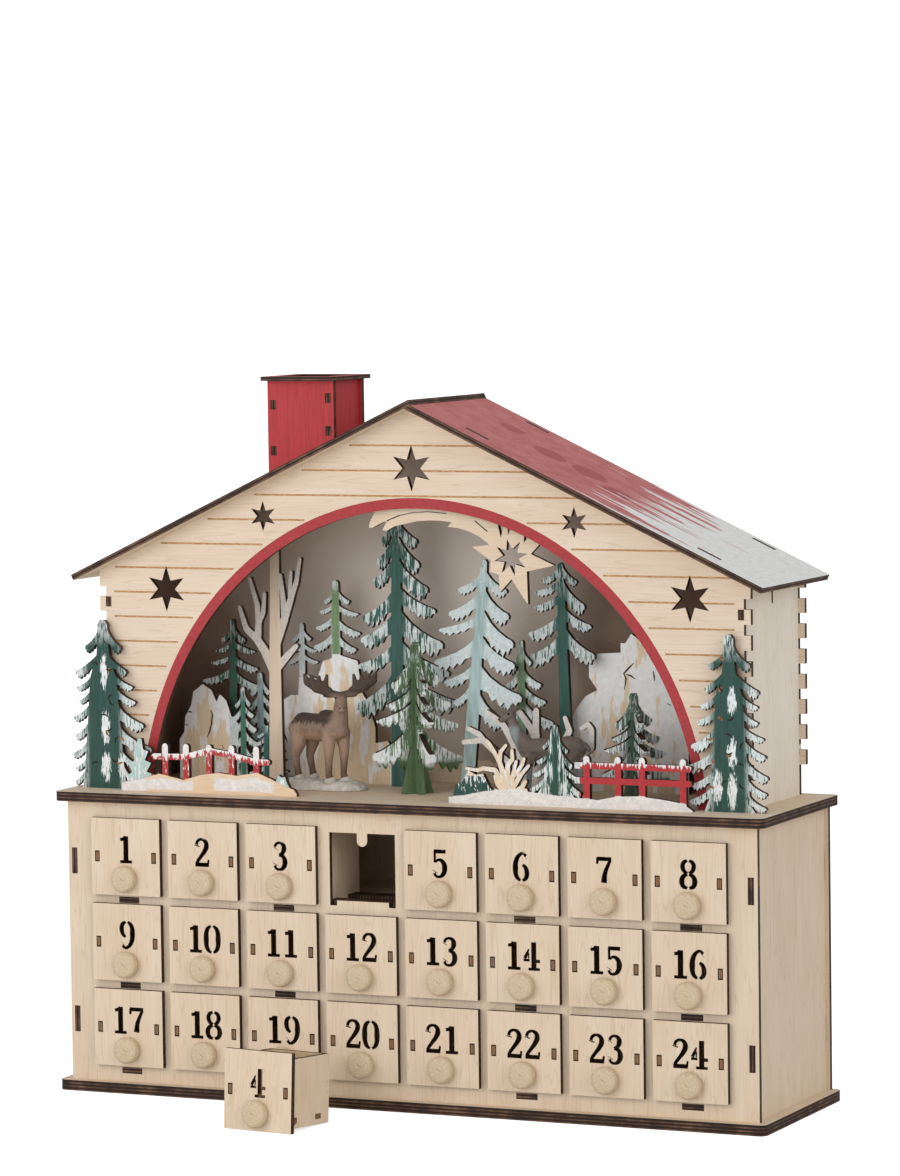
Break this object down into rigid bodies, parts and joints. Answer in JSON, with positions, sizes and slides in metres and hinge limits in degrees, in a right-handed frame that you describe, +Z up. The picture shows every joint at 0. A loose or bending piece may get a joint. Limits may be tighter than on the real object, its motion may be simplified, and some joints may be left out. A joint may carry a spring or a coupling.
{
  "type": "advent calendar",
  "caption": "Wooden advent calendar: a chest of small numbered drawers carrying a gabled winter house with an arched window and a layered forest scene; one drawer stands in front.",
  "frame": {"origin": "centre of the base board's underside, on the table", "axes": "+X across the front to the right, -Y is where the drawers face, +Z up"},
  "size_m": [0.396, 0.1901, 0.3729],
  "materials": {
    "birch_plywood": "sanded, uncoated, laser-cut edges",
    "printed_card": "matt printed card",
    "red_paint": "thin matt paint on plywood",
    "roof_red_paint": "thin matt paint on plywood, fading to snow",
    "dark_green_paint": "matt paint on plywood",
    "green_paint": "matt paint on plywood",
    "pale_blue_paint": "matt paint on plywood",
    "snow_paint": "glittered paint on plywood",
    "moose_brown": "painted cast figure",
    "doe_brown": "painted cast figure"
  },
  "bodies": {
    "cabinet_and_house": {"base_board": "birch_plywood", "top_board": "birch_plywood", "cabinet_face": "birch_plywood", "cabinet_side_left": "birch_plywood", "cabinet_side_right": "birch_plywood", "cabinet_back": "birch_plywood", "shelf_upper": "birch_plywood", "shelf_middle": "birch_plywood", "shelf_lower": "birch_plywood", "drawer_dividers": "birch_plywood", "house_front": "birch_plywood", "house_side_left": "birch_plywood", "house_side_right": "birch_plywood", "house_back": "birch_plywood", "backdrop": "printed_card", "arch_trim": "red_paint", "roof_left": "roof_red_paint", "roof_right": "roof_red_paint", "chimney_walls": "red_paint", "chimney_cap": "red_paint", "comet_star": "birch_plywood", "outer_fir_left": "dark_green_paint", "outer_fir_right": "dark_green_paint", "fence_left": "snow_paint", "fence_right": "snow_paint", "cross_fir_centre": "green_paint", "cross_fir_right": "green_paint", "moose": "moose_brown", "doe": "doe_brown", "bare_tree": "birch_plywood", "grove_left": "birch_plywood", "rock_centre": "birch_plywood", "tall_fir": "dark_green_paint", "pale_fir": "pale_blue_paint", "firs_right": "green_paint", "antler_bush": "snow_paint"},
    "drawer_01": {"drawer_01": "birch_plywood"},
    "drawer_02": {"drawer_02": "birch_plywood"},
    "drawer_03": {"drawer_03": "birch_plywood"},
    "drawer_04": {"drawer_04": "birch_plywood"},
    "drawer_05": {"drawer_05": "birch_plywood"},
    "drawer_06": {"drawer_06": "birch_plywood"},
    "drawer_07": {"drawer_07": "birch_plywood"},
    "drawer_08": {"drawer_08": "birch_plywood"},
    "drawer_09": {"drawer_09": "birch_plywood"},
    "drawer_10": {"drawer_10": "birch_plywood"},
    "drawer_11": {"drawer_11": "birch_plywood"},
    "drawer_12": {"drawer_12": "birch_plywood"},
    "drawer_13": {"drawer_13": "birch_plywood"},
    "drawer_14": {"drawer_14": "birch_plywood"},
    "drawer_15": {"drawer_15": "birch_plywood"},
    "drawer_16": {"drawer_16": "birch_plywood"},
    "drawer_17": {"drawer_17": "birch_plywood"},
    "drawer_18": {"drawer_18": "birch_plywood"},
    "drawer_19": {"drawer_19": "birch_plywood"},
    "drawer_20": {"drawer_20": "birch_plywood"},
    "drawer_21": {"drawer_21": "birch_plywood"},
    "drawer_22": {"drawer_22": "birch_plywood"},
    "drawer_23": {"drawer_23": "birch_plywood"},
    "drawer_24": {"drawer_24": "birch_plywood"}
  },
  "joints": [
    {"name": "drawer_01_slide", "type": "slide", "parent": "cabinet_and_house", "child": "drawer_01", "axis": [0, -1, 0], "range_m": [0, 0.0289]},
    {"name": "drawer_02_slide", "type": "slide", "parent": "cabinet_and_house", "child": "drawer_02", "axis": [0, -1, 0], "range_m": [0, 0.0289]},
    {"name": "drawer_03_slide", "type": "slide", "parent": "cabinet_and_house", "child": "drawer_03", "axis": [0, -1, 0], "range_m": [0, 0.0289]},
    {"name": "drawer_04_slide", "type": "slide", "parent": "cabinet_and_house", "child": "drawer_04", "axis": [-0.1219, -0.9925, 0], "range_m": [0, 0.0289]},
    {"name": "drawer_05_slide", "type": "slide", "parent": "cabinet_and_house", "child": "drawer_05", "axis": [0, -1, 0], "range_m": [0, 0.0289]},
    {"name": "drawer_06_slide", "type": "slide", "parent": "cabinet_and_house", "child": "drawer_06", "axis": [0, -1, 0], "range_m": [0, 0.0289]},
    {"name": "drawer_07_slide", "type": "slide", "parent": "cabinet_and_house", "child": "drawer_07", "axis": [0, -1, 0], "range_m": [0, 0.0289]},
    {"name": "drawer_08_slide", "type": "slide", "parent": "cabinet_and_house", "child": "drawer_08", "axis": [0, -1, 0], "range_m": [0, 0.0289]},
    {"name": "drawer_09_slide", "type": "slide", "parent": "cabinet_and_house", "child": "drawer_09", "axis": [0, -1, 0], "range_m": [0, 0.0289]},
    {"name": "drawer_10_slide", "type": "slide", "parent": "cabinet_and_house", "child": "drawer_10", "axis": [0, -1, 0], "range_m": [0, 0.0289]},
    {"name": "drawer_11_slide", "type": "slide", "parent": "cabinet_and_house", "child": "drawer_11", "axis": [0, -1, 0], "range_m": [0, 0.0289]},
    {"name": "drawer_12_slide", "type": "slide", "parent": "cabinet_and_house", "child": "drawer_12", "axis": [0, -1, 0], "range_m": [0, 0.0289]},
    {"name": "drawer_13_slide", "type": "slide", "parent": "cabinet_and_house", "child": "drawer_13", "axis": [0, -1, 0], "range_m": [0, 0.0289]},
    {"name": "drawer_14_slide", "type": "slide", "parent": "cabinet_and_house", "child": "drawer_14", "axis": [0, -1, 0], "range_m": [0, 0.0289]},
    {"name": "drawer_15_slide", "type": "slide", "parent": "cabinet_and_house", "child": "drawer_15", "axis": [0, -1, 0], "range_m": [0, 0.0289]},
    {"name": "drawer_16_slide", "type": "slide", "parent": "cabinet_and_house", "child": "drawer_16", "axis": [0, -1, 0], "range_m": [0, 0.0289]},
    {"name": "drawer_17_slide", "type": "slide", "parent": "cabinet_and_house", "child": "drawer_17", "axis": [0, -1, 0], "range_m": [0, 0.0289]},
    {"name": "drawer_18_slide", "type": "slide", "parent": "cabinet_and_house", "child": "drawer_18", "axis": [0, -1, 0], "range_m": [0, 0.0289]},
    {"name": "drawer_19_slide", "type": "slide", "parent": "cabinet_and_house", "child": "drawer_19", "axis": [0, -1, 0], "range_m": [0, 0.0289]},
    {"name": "drawer_20_slide", "type": "slide", "parent": "cabinet_and_house", "child": "drawer_20", "axis": [0, -1, 0], "range_m": [0, 0.0289]},
    {"name": "drawer_21_slide", "type": "slide", "parent": "cabinet_and_house", "child": "drawer_21", "axis": [0, -1, 0], "range_m": [0, 0.0289]},
    {"name": "drawer_22_slide", "type": "slide", "parent": "cabinet_and_house", "child": "drawer_22", "axis": [0, -1, 0], "range_m": [0, 0.0289]},
    {"name": "drawer_23_slide", "type": "slide", "parent": "cabinet_and_house", "child": "drawer_23", "axis": [0, -1, 0], "range_m": [0, 0.0289]},
    {"name": "drawer_24_slide", "type": "slide", "parent": "cabinet_and_house", "child": "drawer_24", "axis": [0, -1, 0], "range_m": [0, 0.0289]}
  ]
}
